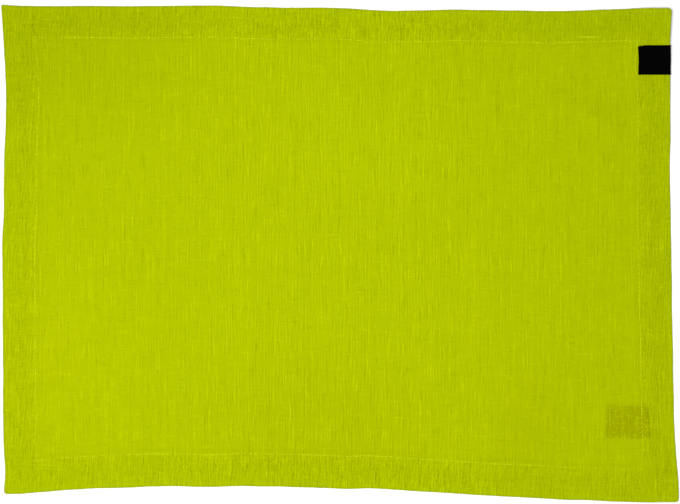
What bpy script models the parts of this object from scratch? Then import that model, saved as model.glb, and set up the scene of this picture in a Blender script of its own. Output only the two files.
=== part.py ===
"""Fabric placemat, lying flat with its right side up.

One rectangle of linen with a hem turned under on all four sides, a woven label
folded over its right edge, and a care label caught in the hem on its underside.

Sizes are in millimetres and turned to metres where a mesh is made. +X runs
along the long sides, +Y towards the top edge and +Z up. The origin lies under
the middle of the mat, on the surface that it rests on.
"""
import math
from collections import namedtuple

import bmesh
import bpy

MM = 0.001

# ---------------------------------------------------------------- cloth and hem
CLOTH_THICK = 1.0
GAP = 0.3                   # air between layers of cloth, and between pieces
LAYER = CLOTH_THICK + GAP   # from the middle of one layer to that of the next
LOWEST = CLOTH_THICK / 2    # the middle of a layer that lies on the surface
HEM_DEPTH = 23.7            # width of the cloth turned under
HEM_CLIMB = 4.0             # run over which the panel climbs onto the hem
HEM_RIM = HEM_DEPTH + CLOTH_THICK / 2
PANEL_RIM = HEM_RIM + HEM_CLIMB
FOLD_FACETS = 4             # facets round a folded edge
CORNER_RADIUS = 2.6
GRID_STEP = 14.0            # widest cell of the cloth's grid
SPOT_ROUNDS = 4             # rounds that settle a point between four uneven edges

# Each edge's distance from the middle of the mat, read along it from one
# corner to the other. The cloth has drawn in and stretched unevenly in use.
EdgePoint = namedtuple("EdgePoint", "along out")
TOP_EDGE = [
    EdgePoint(along=-243.6, out=178.9),
    EdgePoint(along=-219.0, out=178.0),
    EdgePoint(along=-140.0, out=178.2),
    EdgePoint(along=-92.0, out=178.8),
    EdgePoint(along=-57.0, out=177.5),
    EdgePoint(along=0.0, out=177.1),
    EdgePoint(along=23.0, out=175.5),
    EdgePoint(along=43.0, out=175.0),
    EdgePoint(along=80.0, out=175.7),
    EdgePoint(along=158.0, out=174.5),
    EdgePoint(along=187.0, out=175.6),
    EdgePoint(along=219.0, out=177.1),
    EdgePoint(along=238.3, out=177.0),
]
BOTTOM_EDGE = [
    EdgePoint(along=-242.2, out=172.4),
    EdgePoint(along=-230.0, out=172.3),
    EdgePoint(along=-184.0, out=169.1),
    EdgePoint(along=-127.0, out=167.1),
    EdgePoint(along=-69.0, out=167.0),
    EdgePoint(along=-12.0, out=168.5),
    EdgePoint(along=23.0, out=168.8),
    EdgePoint(along=80.0, out=172.4),
    EdgePoint(along=115.0, out=174.5),
    EdgePoint(along=161.0, out=176.8),
    EdgePoint(along=221.0, out=178.9),
    EdgePoint(along=243.6, out=178.6),
]
LEFT_EDGE = [
    EdgePoint(along=-172.4, out=242.2),
    EdgePoint(along=-155.6, out=241.4),
    EdgePoint(along=-132.0, out=242.5),
    EdgePoint(along=-40.0, out=243.0),
    EdgePoint(along=5.7, out=243.4),
    EdgePoint(along=29.0, out=242.1),
    EdgePoint(along=75.0, out=241.6),
    EdgePoint(along=113.0, out=240.5),
    EdgePoint(along=144.0, out=241.6),
    EdgePoint(along=178.9, out=243.6),
]
RIGHT_EDGE = [
    EdgePoint(along=-178.6, out=243.6),
    EdgePoint(along=-160.0, out=243.1),
    EdgePoint(along=-132.6, out=240.7),
    EdgePoint(along=-98.0, out=239.8),
    EdgePoint(along=-29.0, out=238.8),
    EdgePoint(along=17.0, out=238.1),
    EdgePoint(along=63.0, out=237.2),
    EdgePoint(along=144.0, out=237.4),
    EdgePoint(along=177.0, out=238.3),
]

# ---------------------------------------------------------------------- labels
EDGE_LABEL_LOW = 129.3      # the edge label's sides, along the right edge
EDGE_LABEL_HIGH = 150.0
EDGE_LABEL_REACH = 23.3     # how far it reaches in from the edge, on both faces
CARE_LABEL_LOW = -134.0
CARE_LABEL_HIGH = -106.9
CARE_LABEL_FREE_END = 190.0  # the x of its loose end, under the panel
CARE_LABEL_TUCK = 16.0      # how near its caught end comes to the right edge
CARE_LABEL_SPARE = 1.0      # how far past that end the hem stays raised over it
LABEL_CELLS = 2             # cells across a label

# ------------------------------------------------------------------ unevenness
# A lift raises the cloth over its box, and the cloth falls away softly round it.
Lift = namedtuple("Lift", "left right low high fade height")
EDGE_LABEL_LIFT = Lift(left=213.0, right=250.0, low=107.0, high=185.0, fade=24.0, height=LAYER)
CARE_LABEL_LIFT = Lift(left=186.0, right=250.0, low=-144.5, high=-96.0, fade=10.0, height=LAYER)

# A swell is a long low rise: half its length, half its width, its turn in degrees.
Swell = namedtuple("Swell", "x y length width turn height")
SWELLS = [
    Swell(x=172.0, y=96.0, length=62.0, width=30.0, turn=-27.0, height=1.1),
    Swell(x=20.0, y=96.0, length=72.0, width=32.0, turn=54.0, height=0.9),
    Swell(x=-118.0, y=4.0, length=84.0, width=34.0, turn=96.0, height=0.9),
    Swell(x=-148.0, y=-84.0, length=58.0, width=32.0, turn=12.0, height=0.8),
    Swell(x=112.0, y=-20.0, length=86.0, width=32.0, turn=82.0, height=0.8),
]

# Lines of the cloth's grid where a lift begins or ends, on the panel's rim.
LIFT_COLUMNS = [176.0, 186.0]
LIFT_ROWS = [-135.5, -120.0, -105.0, -96.0, -86.0, 83.0, 107.0]

LINEN_HEX = "B7C703"
BLACK_HEX = "17171A"
CHARCOAL_HEX = "2B2B2E"


def blend(low, high, share):
    """Return the value at a share of the way from low to high."""
    return low + (high - low) * share


def fall(share):
    """Return a soft fall from 1, at share 0, to 0, at share 1 and past it."""
    return (1 + math.cos(math.pi * min(share, 1.0))) / 2


def edge_slope(edge, place):
    """Return an edge's slope at one of its points, from the points beside it."""
    before = edge[max(place - 1, 0)]
    after = edge[min(place + 1, len(edge) - 1)]
    return (after.out - before.out) / (after.along - before.along)


def edge_out(edge, along):
    """Return how far out an edge lies, on a smooth curve through its points."""
    place = 0
    while place < len(edge) - 2 and along > edge[place + 1].along:
        place += 1
    near, far = edge[place], edge[place + 1]
    run = far.along - near.along
    t = (along - near.along) / run
    return (near.out * (1 + 2 * t) * (1 - t) ** 2 + far.out * t * t * (3 - 2 * t)
            + edge_slope(edge, place) * run * t * (1 - t) ** 2
            - edge_slope(edge, place + 1) * run * t * t * (1 - t))


def spot(u, v, inset):
    """Return x and y at shares u and v across the outline drawn in by an inset."""
    x = blend(-LEFT_EDGE[0].out, RIGHT_EDGE[0].out, u)
    for _ in range(SPOT_ROUNDS):
        y = blend(inset - edge_out(BOTTOM_EDGE, x), edge_out(TOP_EDGE, x) - inset, v)
        x = blend(inset - edge_out(LEFT_EDGE, y), edge_out(RIGHT_EDGE, y) - inset, u)
    if u in (0.0, 1.0) and v in (0.0, 1.0):
        cut = max(CORNER_RADIUS - inset, 0.0) * (1 - math.sqrt(0.5))
        x -= math.copysign(cut, x)
        y -= math.copysign(cut, y)
    return x, y


def lifted(lift, x, y):
    """Return how far a lift raises the cloth at x and y."""
    beside = max(lift.left - x, x - lift.right, 0.0)
    beyond = max(lift.low - y, y - lift.high, 0.0)
    return lift.height * fall(math.hypot(beside, beyond) / lift.fade)


def ground(x, y):
    """Return how high over the surface the cloth's lowest layer lies."""
    height = lifted(EDGE_LABEL_LIFT, x, y)
    for swell in SWELLS:
        turn = math.radians(swell.turn)
        along = (x - swell.x) * math.cos(turn) + (y - swell.y) * math.sin(turn)
        across = (y - swell.y) * math.cos(turn) - (x - swell.x) * math.sin(turn)
        height += swell.height * fall(abs(along) / swell.length) * fall(abs(across) / swell.width)
    return height


def grid_lines(edge, kept):
    """Return the cloth's grid lines along an edge, as shares, with one at each kept place."""
    low, high = edge[0].along + PANEL_RIM, edge[-1].along - PANEL_RIM
    corner = CORNER_RADIUS * (high - low) / (edge[-1].along - edge[0].along)
    places = [low, low + corner, *kept, high - corner, high]
    lines = []
    for near, far in zip(places, places[1:]):
        cells = math.ceil((far - near) / GRID_STEP)
        lines += [(blend(near, far, cell / cells) - low) / (high - low) for cell in range(cells)]
    return lines + [1.0]


def fold(radius, height):
    """Return a fold round the outer edge, from its top to its foot: inset and height."""
    inset = LOWEST + LAYER / 2
    turns = [math.pi * facet / FOLD_FACETS for facet in range(FOLD_FACETS + 1)]
    return [(inset - radius * math.sin(turn), height + radius * math.cos(turn)) for turn in turns]


def hem_rings():
    """Return the hem from the panel out and back under: inset, height, care label's share."""
    over = [(HEM_RIM, LOWEST + LAYER, 1.0), (CARE_LABEL_TUCK - CARE_LABEL_SPARE, LOWEST + LAYER, 1.0),
            (CARE_LABEL_TUCK / 2, LOWEST + LAYER, 0.0)]
    edge = [(inset, height, 0.0) for inset, height in fold(LAYER / 2, LOWEST + LAYER / 2)]
    under = [(HEM_DEPTH / 2, LOWEST, 0.0), (HEM_DEPTH, LOWEST, 0.0)]
    return over + edge + under


def cloth_finish(name, hex_colour, roughness):
    """Return a plain woven finish of an sRGB colour."""
    material = bpy.data.materials.new(name)
    material.use_nodes = True
    shader = material.node_tree.nodes["Principled BSDF"]
    srgb = [int(hex_colour[place:place + 2], 16) / 255 for place in (0, 2, 4)]
    linear = [((part + 0.055) / 1.055) ** 2.4 if part > 0.04045 else part / 12.92 for part in srgb]
    shader.inputs["Base Color"].default_value = (*linear, 1.0)
    shader.inputs["Roughness"].default_value = roughness
    shader.inputs["Metallic"].default_value = 0.0
    return material


def add_sheet(name, grid, finish, collection):
    """Add a sheet of cloth, thickened evenly on both sides of its middle surface."""
    bmesh.ops.recalc_face_normals(grid, faces=grid.faces)
    mesh = bpy.data.meshes.new(name)
    grid.to_mesh(mesh)
    grid.free()
    mesh.shade_smooth()
    mesh.materials.append(finish)
    sheet = bpy.data.objects.new(name, mesh)
    collection.objects.link(sheet)
    thick = sheet.modifiers.new("thickness", "SOLIDIFY")
    thick.thickness = CLOTH_THICK * MM
    thick.offset = 0.0
    thick.use_even_offset = True


def add_mat_cloth(collection):
    """Add the cloth: its panel is a grid, and the hem is drawn on from the rim ring by ring."""
    columns = grid_lines(BOTTOM_EDGE, LIFT_COLUMNS)
    rows = grid_lines(RIGHT_EDGE, LIFT_ROWS)
    grid = bmesh.new()
    bmesh.ops.create_grid(grid, x_segments=len(columns) - 1, y_segments=len(rows) - 1, size=1.0)
    column_of = grid.verts.layers.int.new("column")
    row_of = grid.verts.layers.int.new("row")
    for vert in grid.verts:
        vert[column_of] = round((vert.co.x + 1) / 2 * (len(columns) - 1))
        vert[row_of] = round((vert.co.y + 1) / 2 * (len(rows) - 1))

    def lay(verts, inset, height, care_share):
        for vert in verts:
            x, y = spot(columns[vert[column_of]], rows[vert[row_of]], inset)
            z = height + ground(x, y) + care_share * lifted(CARE_LABEL_LIFT, x, y)
            vert.co = (x * MM, y * MM, z * MM)

    lay(grid.verts, PANEL_RIM, LOWEST, 1.0)
    rim = [side for side in grid.edges if side.is_boundary]
    for inset, height, care_share in hem_rings():
        drawn = bmesh.ops.extrude_edge_only(grid, edges=rim)["geom"]
        rim = [part for part in drawn if isinstance(part, bmesh.types.BMEdge)]
        lay([part for part in drawn if isinstance(part, bmesh.types.BMVert)], inset, height, care_share)
    add_sheet("mat_cloth", grid, cloth_finish("lime_linen", LINEN_HEX, 0.85), collection)


def add_label(name, low, high, path_at, finish, collection):
    """Add a label between two places along the right edge, on a path of x and height."""
    grid = bmesh.new()
    steps = len(path_at(low)) - 1
    bmesh.ops.create_grid(grid, x_segments=steps, y_segments=LABEL_CELLS, size=1.0)
    for vert in grid.verts:
        y = blend(low, high, (vert.co.y + 1) / 2)
        x, height = path_at(y)[round((vert.co.x + 1) / 2 * steps)]
        vert.co = (x * MM, y * MM, height * MM)
    add_sheet(name, grid, finish, collection)


def edge_label_path(y):
    """Return the edge label's run: over the hem, round its fold and back under it."""
    top = LOWEST + 3 * LAYER
    run = [(EDGE_LABEL_REACH, top), *fold((top - LOWEST) / 2, (top + LOWEST) / 2),
           (EDGE_LABEL_REACH, LOWEST)]
    return [(edge_out(RIGHT_EDGE, y) - inset, height) for inset, height in run]


def care_label_path(y):
    """Return the care label's run: along the surface, then up between the hem's layers."""
    out = edge_out(RIGHT_EDGE, y)
    return [(CARE_LABEL_FREE_END, LOWEST), (out - PANEL_RIM, LOWEST),
            (out - HEM_RIM, LOWEST + LAYER), (out - CARE_LABEL_TUCK, LOWEST + LAYER)]


def main():
    for old in list(bpy.data.objects):
        bpy.data.objects.remove(old, do_unlink=True)
    collection = bpy.data.collections.new("fabric_placemat")
    bpy.context.scene.collection.children.link(collection)
    add_mat_cloth(collection)
    add_label("edge_label", EDGE_LABEL_LOW, EDGE_LABEL_HIGH, edge_label_path,
              cloth_finish("black_ribbon", BLACK_HEX, 0.6), collection)
    add_label("care_label", CARE_LABEL_LOW, CARE_LABEL_HIGH, care_label_path,
              cloth_finish("charcoal_ribbon", CHARCOAL_HEX, 0.7), collection)


main()
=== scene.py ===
"""Looks of the fabric placemat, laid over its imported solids.

The mat is one rectangle of lime linen that lies flat with its right side up. Its
four sides are turned under twice, mitred at the corners and sewn down all round.
A black woven label is folded over the right edge, and a charcoal care label is
caught in the hem on the underside.

Sizes are in millimetres and turned to metres where a mesh is made. +X runs along
the long sides, +Y towards the top edge and +Z up, from the table's surface. An
inset is a distance in from the mat's edge.
"""
import math
import random
from collections import namedtuple
from functools import lru_cache

import bmesh
import bpy
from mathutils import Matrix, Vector, noise


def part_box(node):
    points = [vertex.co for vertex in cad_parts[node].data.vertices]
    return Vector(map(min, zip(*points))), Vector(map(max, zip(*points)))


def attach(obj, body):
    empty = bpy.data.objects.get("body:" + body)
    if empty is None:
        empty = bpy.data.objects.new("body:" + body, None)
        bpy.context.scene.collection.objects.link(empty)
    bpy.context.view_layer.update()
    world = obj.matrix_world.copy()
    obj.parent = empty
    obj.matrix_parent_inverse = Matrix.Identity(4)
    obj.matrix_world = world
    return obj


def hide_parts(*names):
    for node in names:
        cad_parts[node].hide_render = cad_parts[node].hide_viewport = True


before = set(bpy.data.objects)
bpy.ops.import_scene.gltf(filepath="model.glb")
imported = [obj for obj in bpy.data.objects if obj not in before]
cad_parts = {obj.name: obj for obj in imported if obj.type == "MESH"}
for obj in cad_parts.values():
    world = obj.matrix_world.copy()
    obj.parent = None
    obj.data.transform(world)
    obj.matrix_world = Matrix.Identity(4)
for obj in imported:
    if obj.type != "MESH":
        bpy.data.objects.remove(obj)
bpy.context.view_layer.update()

MM = 0.001

# ---------------------------------------------------------------- cloth and hem
CLOTH_THICK = 0.35          # washed linen of some 215 grams a square metre
LAYER = 0.42                # from the middle of one layer of the hem to the next
LOWEST = CLOTH_THICK / 2    # the middle of a layer that lies on the table
HEM_DEPTH = 24.6            # width of the cloth turned under
TURN_IN = 7.4               # width of the raw edge, turned in behind the hem
RAW_EDGE = HEM_DEPTH - TURN_IN
STITCH_LINE = 23.4          # inset at which the hem is sewn down
HEM_RIM = 25.1              # where the panel starts to fall from the hem to the table
PANEL_RIM = 29.1            # where it reaches the table
TOP_SHALLOWER = 0.8         # how much less deep the hem along the top edge is
TOP_SHALLOWER_FADE = 8.0    # how far past the panel's rim that ends
SAG = 5.0                   # run over which the top layer sinks beyond the raw edge
STITCH_SINK = 0.05          # how deep the stitches pull the cloth in
MITRE_SINK = 0.06           # how deep the mitre's seam lies in the underside
MITRE_RISE = 0.08           # how much it shows through on the right side
GRID_STEP = 2.6             # widest cell of the cloth's grid
CORNER_STEPS = [0.6, 1.4, 2.5, 4.0]     # its closer lines, in from the panel's corners
SPOT_ROUNDS = 4             # rounds that settle a point between four uneven edges

# Insets of the cloth's rings: out over the hem, back under it, and in along its turned-in edge.
OVER_HEM = [27.8, 26.4, HEM_RIM, 24.2, STITCH_LINE, 22.6, 20.0, RAW_EDGE, 14.7, 12.2, 8.4, 4.4, 1.7]
UNDER_HEM = [1.7, 5.0, 9.5, 14.0, 18.0, 21.5, STITCH_LINE, 23.9]
TURNED_IN = [22.4, 19.8, RAW_EDGE]
FOLD_INSET = CLOTH_THICK / 2 + LAYER / 2    # the middle of the hem's fold
FOLD_HEIGHT = LOWEST + LAYER / 2
FOLD_FACETS = 6
INNER_FOLD_FACETS = 4

# Each edge's distance out from the middle of the mat, read along it from one
# corner to the other, within a millimetre of the solids' own.
EdgePoint = namedtuple("EdgePoint", "along out")
TOP_EDGE = [
    EdgePoint(-243.6, 179.3), EdgePoint(-219.0, 178.2), EdgePoint(-184.0, 178.5),
    EdgePoint(-140.0, 178.3), EdgePoint(-92.0, 178.8), EdgePoint(-57.0, 177.5),
    EdgePoint(0.0, 177.1), EdgePoint(23.0, 175.5), EdgePoint(43.0, 175.0),
    EdgePoint(80.0, 175.7), EdgePoint(158.0, 174.9), EdgePoint(187.0, 175.6),
    EdgePoint(219.0, 176.8), EdgePoint(238.3, 176.7),
]
BOTTOM_EDGE = [
    EdgePoint(-242.2, 172.9), EdgePoint(-230.0, 172.6), EdgePoint(-184.0, 169.2),
    EdgePoint(-155.0, 168.3), EdgePoint(-127.0, 167.2), EdgePoint(-96.0, 167.8),
    EdgePoint(-66.0, 167.2), EdgePoint(-12.0, 168.6), EdgePoint(4.0, 169.2),
    EdgePoint(23.0, 169.0), EdgePoint(80.0, 172.4), EdgePoint(115.0, 174.5),
    EdgePoint(161.0, 176.8), EdgePoint(221.0, 178.9), EdgePoint(243.6, 178.6),
]
LEFT_EDGE = [
    EdgePoint(-172.4, 242.2), EdgePoint(-155.6, 241.4), EdgePoint(-132.0, 242.5),
    EdgePoint(-40.0, 243.0), EdgePoint(5.7, 243.4), EdgePoint(29.0, 242.3),
    EdgePoint(54.0, 242.2), EdgePoint(75.0, 241.7), EdgePoint(113.0, 240.5),
    EdgePoint(144.0, 241.9), EdgePoint(179.3, 243.9),
]
RIGHT_EDGE = [
    EdgePoint(-178.6, 243.6), EdgePoint(-160.0, 243.1), EdgePoint(-132.6, 240.7),
    EdgePoint(-98.0, 239.8), EdgePoint(-29.0, 238.7), EdgePoint(17.0, 238.0),
    EdgePoint(63.0, 237.3), EdgePoint(86.0, 237.8), EdgePoint(112.0, 237.4),
    EdgePoint(144.0, 237.4), EdgePoint(160.0, 237.4), EdgePoint(176.7, 238.3),
]

# How far each corner is rounded, by its side along X and along Y.
CORNER_RADII = {(-1.0, 1.0): 0.9, (1.0, 1.0): 2.9, (-1.0, -1.0): 2.9, (1.0, -1.0): 2.4}

# ---------------------------------------------------------------------- labels
edge_label_low, edge_label_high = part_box("edge_label")
care_label_low, care_label_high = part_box("care_label")
EDGE_LABEL_FLARE = 0.5      # how far the edge label reaches past its solid, at its lower side
EDGE_LABEL_LOW = edge_label_low.y / MM - EDGE_LABEL_FLARE
EDGE_LABEL_HIGH = edge_label_high.y / MM
EDGE_LABEL_REACH = 23.3     # how far it reaches in from the edge, on both faces
EDGE_LABEL_INSETS = [22.2, 20.5, 18.4, 16.2, 14.0, 11.6, 8.6, 5.4, 2.6]
RIBBON_THICK = 0.4
RIBBON_BOW = 0.35           # how much its inner end is drawn in, in its middle
RIBBON_SLANT = 0.9          # how much narrower its inner end is, on the side of the top edge
RIBBON_SLANT_RUN = 5.5
RIBBON_AIR = 0.05           # air between a label and the cloth
RIBBON_FACETS = 10          # round the edge label's fold
CARE_LABEL_LOW = care_label_low.y / MM
CARE_LABEL_HIGH = care_label_high.y / MM
CARE_LABEL_FREE_END = care_label_low.x / MM
CARE_LABEL_TUCK = 16.0      # how near its caught end comes to the right edge
CARE_LABEL_INSETS = [44.0, 38.0, 33.0, PANEL_RIM, 28.2, 27.1, 26.0, HEM_RIM, 22.6, 19.7, RAW_EDGE,
                     CARE_LABEL_TUCK]
CARE_LABEL_SAG = 0.5        # how much of a layer its caught end sinks past the raw edge
TAPE_THICK = 0.35
LABEL_ROWS = 10             # cells across a label

# ------------------------------------------------------------------ unevenness
# A lift raises the cloth over its box, and the cloth falls away softly round it.
Lift = namedtuple("Lift", "left right low high fade height")
EDGE_LABEL_LIFT = Lift(left=213.0, right=250.0, low=122.0, high=157.0, fade=24.0, height=1.0)
CARE_LABEL_LIFT = Lift(left=186.0, right=250.0, low=-138.0, high=-103.0, fade=7.0, height=0.45)
CARE_LIFT_START = 8.0       # the inset from which the care label lifts the hem's top layer

# A rise is a long low ridge: half its length, half its width, its turn in degrees.
Rise = namedtuple("Rise", "x y length width turn height")
RISES = [
    # the broad swells of the solids
    Rise(x=172.0, y=96.0, length=62.0, width=30.0, turn=-27.0, height=1.1),
    Rise(x=20.0, y=96.0, length=72.0, width=32.0, turn=54.0, height=0.9),
    Rise(x=-118.0, y=4.0, length=84.0, width=34.0, turn=96.0, height=0.9),
    Rise(x=-148.0, y=-84.0, length=58.0, width=32.0, turn=12.0, height=0.8),
    Rise(x=112.0, y=-20.0, length=86.0, width=32.0, turn=82.0, height=0.8),
    # the curl of the corners
    Rise(x=240.0, y=178.0, length=46.0, width=34.0, turn=60.0, height=2.4),
    Rise(x=-244.0, y=179.0, length=30.0, width=24.0, turn=45.0, height=0.5),
    Rise(x=-243.0, y=-173.0, length=32.0, width=26.0, turn=-45.0, height=0.4),
    Rise(x=244.0, y=-179.0, length=34.0, width=24.0, turn=-45.0, height=0.5),
    # creases left by folding and by the press
    Rise(x=176.0, y=100.0, length=46.0, width=9.0, turn=-27.0, height=0.62),
    Rise(x=3.0, y=71.0, length=42.0, width=9.0, turn=54.0, height=0.6),
    Rise(x=-6.0, y=140.0, length=22.0, width=9.0, turn=80.0, height=0.42),
    Rise(x=-115.0, y=35.0, length=26.0, width=8.0, turn=-61.0, height=0.45),
    Rise(x=-115.0, y=-10.0, length=40.0, width=8.0, turn=75.0, height=0.48),
    Rise(x=117.0, y=24.0, length=32.0, width=8.0, turn=85.0, height=0.48),
    Rise(x=4.5, y=-8.0, length=46.0, width=7.0, turn=88.0, height=0.36),
    Rise(x=-90.0, y=-73.0, length=30.0, width=8.0, turn=90.0, height=0.42),
    Rise(x=-191.0, y=-46.0, length=26.0, width=8.0, turn=-17.0, height=0.45),
    Rise(x=-170.0, y=-71.0, length=28.0, width=8.0, turn=-82.0, height=0.45),
    Rise(x=-150.0, y=-86.0, length=34.0, width=10.0, turn=38.0, height=0.5),
    Rise(x=-184.0, y=-116.0, length=20.0, width=10.0, turn=20.0, height=0.48),
    Rise(x=0.0, y=-120.0, length=24.0, width=11.0, turn=70.0, height=0.45),
    Rise(x=-60.0, y=128.0, length=36.0, width=9.0, turn=-12.0, height=0.4),
    Rise(x=66.0, y=-92.0, length=38.0, width=10.0, turn=28.0, height=0.4),
    Rise(x=150.0, y=-118.0, length=34.0, width=9.0, turn=-50.0, height=0.45),
]
RUMPLE_HEIGHT = 0.09        # a fine all-over unevenness, and its size
RUMPLE_SIZE = 16.0

PUCKER_HEIGHT = 0.18        # ripples that the stitches gather along the hem
PUCKER_LENGTH = 3.6
PUCKER_REACH = 13.0
PUCKER_WIDTH = 7.0
PUCKER_LEAST = 0.02         # the share of its height below which a pucker is left out
PUCKER_TURN = 6.0           # how near a corner's diagonal they turn from one side to the other
SIDE_PUCKERS = 3.0          # the layer of noise for the long sides, and for the short ones
END_PUCKERS = 8.0

WAVER = [(17.0, 0.3), (4.3, 0.12)]      # the edges' fine waver: its length and how far it goes
HEM_WANDER = 0.45           # how far the depth of the hem wanders, and over what length
HEM_WANDER_LENGTH = 34.0
WANDER_START = 8.0          # the insets between which the wander sets in
WANDER_FULL = 17.0
LABEL_BOW = 1.6             # how much deeper the hem is where the edge label is sewn in
LABEL_BOW_REACH = 32.0
LABEL_BOW_FADE = 4.0        # how far past the panel's rim that ends

# --------------------------------------------------------------------- sewing
STITCH_PITCH = 3.15
STITCH_LENGTH = 2.35
STITCH_RISE = 0.14          # how much higher a stitch's middle is than its ends
STITCH_POINTS = 6           # along a stitch
STITCH_FACETS = 6           # round it
STITCH_SLEW = 0.09          # how far a stitch is slewed at most, in radians
LEAST_STITCH = (0.86, 0.82, 0.8)        # the smallest and the largest stitch, along, across and up
LARGEST_STITCH = (1.08, 1.12, 1.1)
SLEW_SEED = 4
TENSION_SEED = 9
WEAR_SEED = 21
THREAD_RADIUS = 0.33
THREAD_PROUD = 0.6          # how much of its radius its middle line stands out of the cloth
SEAM_SINK = 0.14            # how deep the seam has sunk in the cloth, and how unevenly
SEAM_UNEVEN = 0.3
SEAM_RUN = 9.0
SEAM_OVER_LABEL = 0.2       # how much less deep it has sunk over the care label

# A sink is a place where the seam has sunk deeper yet or, below 0, less deep.
Sink = namedtuple("Sink", "x y reach depth")
SINKS = [
    Sink(x=-217.0, y=153.0, reach=100.0, depth=0.28),
    Sink(x=216.0, y=-151.0, reach=125.0, depth=0.42),
    Sink(x=-10.0, y=155.0, reach=75.0, depth=-0.2),
    Sink(x=-217.0, y=50.0, reach=65.0, depth=-0.1),
    Sink(x=213.0, y=55.0, reach=55.0, depth=-0.1),
]
BLACK_PITCH = 2.2
BLACK_SEAM = 1.4            # how far the black stitches lie from the label's inner end
BLACK_MARGIN = 0.6          # and from its sides
BLACK_FILL = 0.8            # how much of their pitch they fill
BLACK_THREAD = 0.8          # how thick their thread is for the hem's
BLACK_PROUD = 0.4           # how far it stands out of the upper face, for the hem thread's radius
BLACK_SUNK = 0.6            # and lies sunk in the lower face
PATH_STEP = 1.5             # from point to point of a line that stitches or slubs follow

# A slub is a thick place in a yarn: half its length, its turn in degrees, its radius.
Slub = namedtuple("Slub", "x y length turn radius")
SLUBS = [
    Slub(x=178.5, y=156.2, length=9.6, turn=0.0, radius=0.7),
    Slub(x=-101.0, y=-4.4, length=7.5, turn=0.0, radius=0.28),
    Slub(x=82.5, y=-2.2, length=3.2, turn=90.0, radius=0.3),
    Slub(x=-215.0, y=-148.8, length=9.0, turn=0.0, radius=0.3),
    Slub(x=-210.0, y=-152.0, length=7.2, turn=0.0, radius=0.26),
    Slub(x=-213.0, y=-154.4, length=8.4, turn=0.0, radius=0.22),
    Slub(x=-203.3, y=170.4, length=1.6, turn=80.0, radius=0.4),
    Slub(x=-210.6, y=168.6, length=5.6, turn=0.0, radius=0.22),
    Slub(x=161.0, y=-125.4, length=1.6, turn=0.0, radius=0.85),
    Slub(x=235.0, y=-163.4, length=6.8, turn=2.0, radius=0.22),
    Slub(x=-236.8, y=-102.0, length=13.0, turn=90.0, radius=0.24),
    Slub(x=-235.2, y=-98.0, length=17.0, turn=90.0, radius=0.2),
    Slub(x=-231.4, y=-112.0, length=12.0, turn=90.0, radius=0.22),
    Slub(x=-226.8, y=62.0, length=15.0, turn=90.0, radius=0.2),
    Slub(x=-221.0, y=40.0, length=11.0, turn=90.0, radius=0.24),
    Slub(x=194.0, y=-118.0, length=8.0, turn=90.0, radius=0.14),
    Slub(x=207.5, y=-119.5, length=9.0, turn=90.0, radius=0.12),
    Slub(x=213.6, y=-122.0, length=6.0, turn=90.0, radius=0.13),
    Slub(x=-160.4, y=-96.0, length=4.6, turn=90.0, radius=0.26),
    Slub(x=31.0, y=63.0, length=5.0, turn=0.0, radius=0.24),
    Slub(x=-75.0, y=170.3, length=9.0, turn=0.0, radius=0.24),
    Slub(x=-68.0, y=163.4, length=13.0, turn=0.0, radius=0.22),
    Slub(x=100.5, y=-131.2, length=7.5, turn=0.0, radius=0.24),
    Slub(x=95.0, y=-129.6, length=3.4, turn=90.0, radius=0.22),
]
SLUB_GIRTH = 1.2            # how much wider than its radius a slub is pressed, and how flat
SLUB_FLATNESS = 0.4
SLUB_TIP = 0.15             # how thick its tips are for its middle
SLUB_FACETS = 8
SLUB_STEPS = 4              # the fewest points along it
LABEL_SIDE = 205.0          # from here to the right edge, slubs keep clear of the edge label
LABEL_CLEAR = 4.0
LOOSE_SLUBS = 90            # small ones scattered over the mat
LOOSE_SEED = 11
LOOSE_ACROSS = (-232.0, 228.0)
LOOSE_UP = (-160.0, 168.0)
LOOSE_LENGTHS = (1.5, 6.0)
LOOSE_RADII = (0.12, 0.2)
LOOSE_WARP = 0.6            # the share of them that lie along the warp


# ============================================================ shape of the cloth
def blend(low, high, share):
    """Return the value at a share of the way from low to high."""
    return low + (high - low) * share


def fall(share):
    """Return a soft fall from 1, at share 0, to 0, at share 1 and past it."""
    return (1 + math.cos(math.pi * min(share, 1.0))) / 2


def climb(value, start, end):
    """Return a soft climb from 0, up to start, to 1, from end on."""
    return 1 - fall(max(value - start, 0.0) / (end - start))


def edge_slope(edge, place):
    """Return an edge's slope at one of its points, from the points beside it."""
    before = edge[max(place - 1, 0)]
    after = edge[min(place + 1, len(edge) - 1)]
    return (after.out - before.out) / (after.along - before.along)


def edge_out(edge, along):
    """Return how far out an edge lies, on a smooth curve through its points."""
    place = 0
    while place < len(edge) - 2 and along > edge[place + 1].along:
        place += 1
    near, far = edge[place], edge[place + 1]
    run = far.along - near.along
    t = (along - near.along) / run
    out = (near.out * (1 + 2 * t) * (1 - t) ** 2 + far.out * t * t * (3 - 2 * t)
           + edge_slope(edge, place) * run * t * (1 - t) ** 2
           - edge_slope(edge, place + 1) * run * t * t * (1 - t))
    for length, reach in WAVER:
        out += reach * noise.noise(Vector((along / length, edge[0].along, edge[0].out)))
    return out


def spot(u, v, inset):
    """Return x and y at shares u and v across the outline drawn in by an inset."""
    x = blend(-LEFT_EDGE[0].out, RIGHT_EDGE[0].out, u)
    y = 0.0
    for _ in range(SPOT_ROUNDS):
        y = blend(inset - edge_out(BOTTOM_EDGE, x), edge_out(TOP_EDGE, x) - inset, v)
        x = blend(inset - edge_out(LEFT_EDGE, y), edge_out(RIGHT_EDGE, y) - inset, u)
    return x, y


@lru_cache(maxsize=None)
def corner_spot(side_x, side_y, inset):
    """Return where a corner of the outline, drawn in by an inset, would be if it were sharp."""
    return spot((1 + side_x) / 2, (1 + side_y) / 2, inset)


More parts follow.
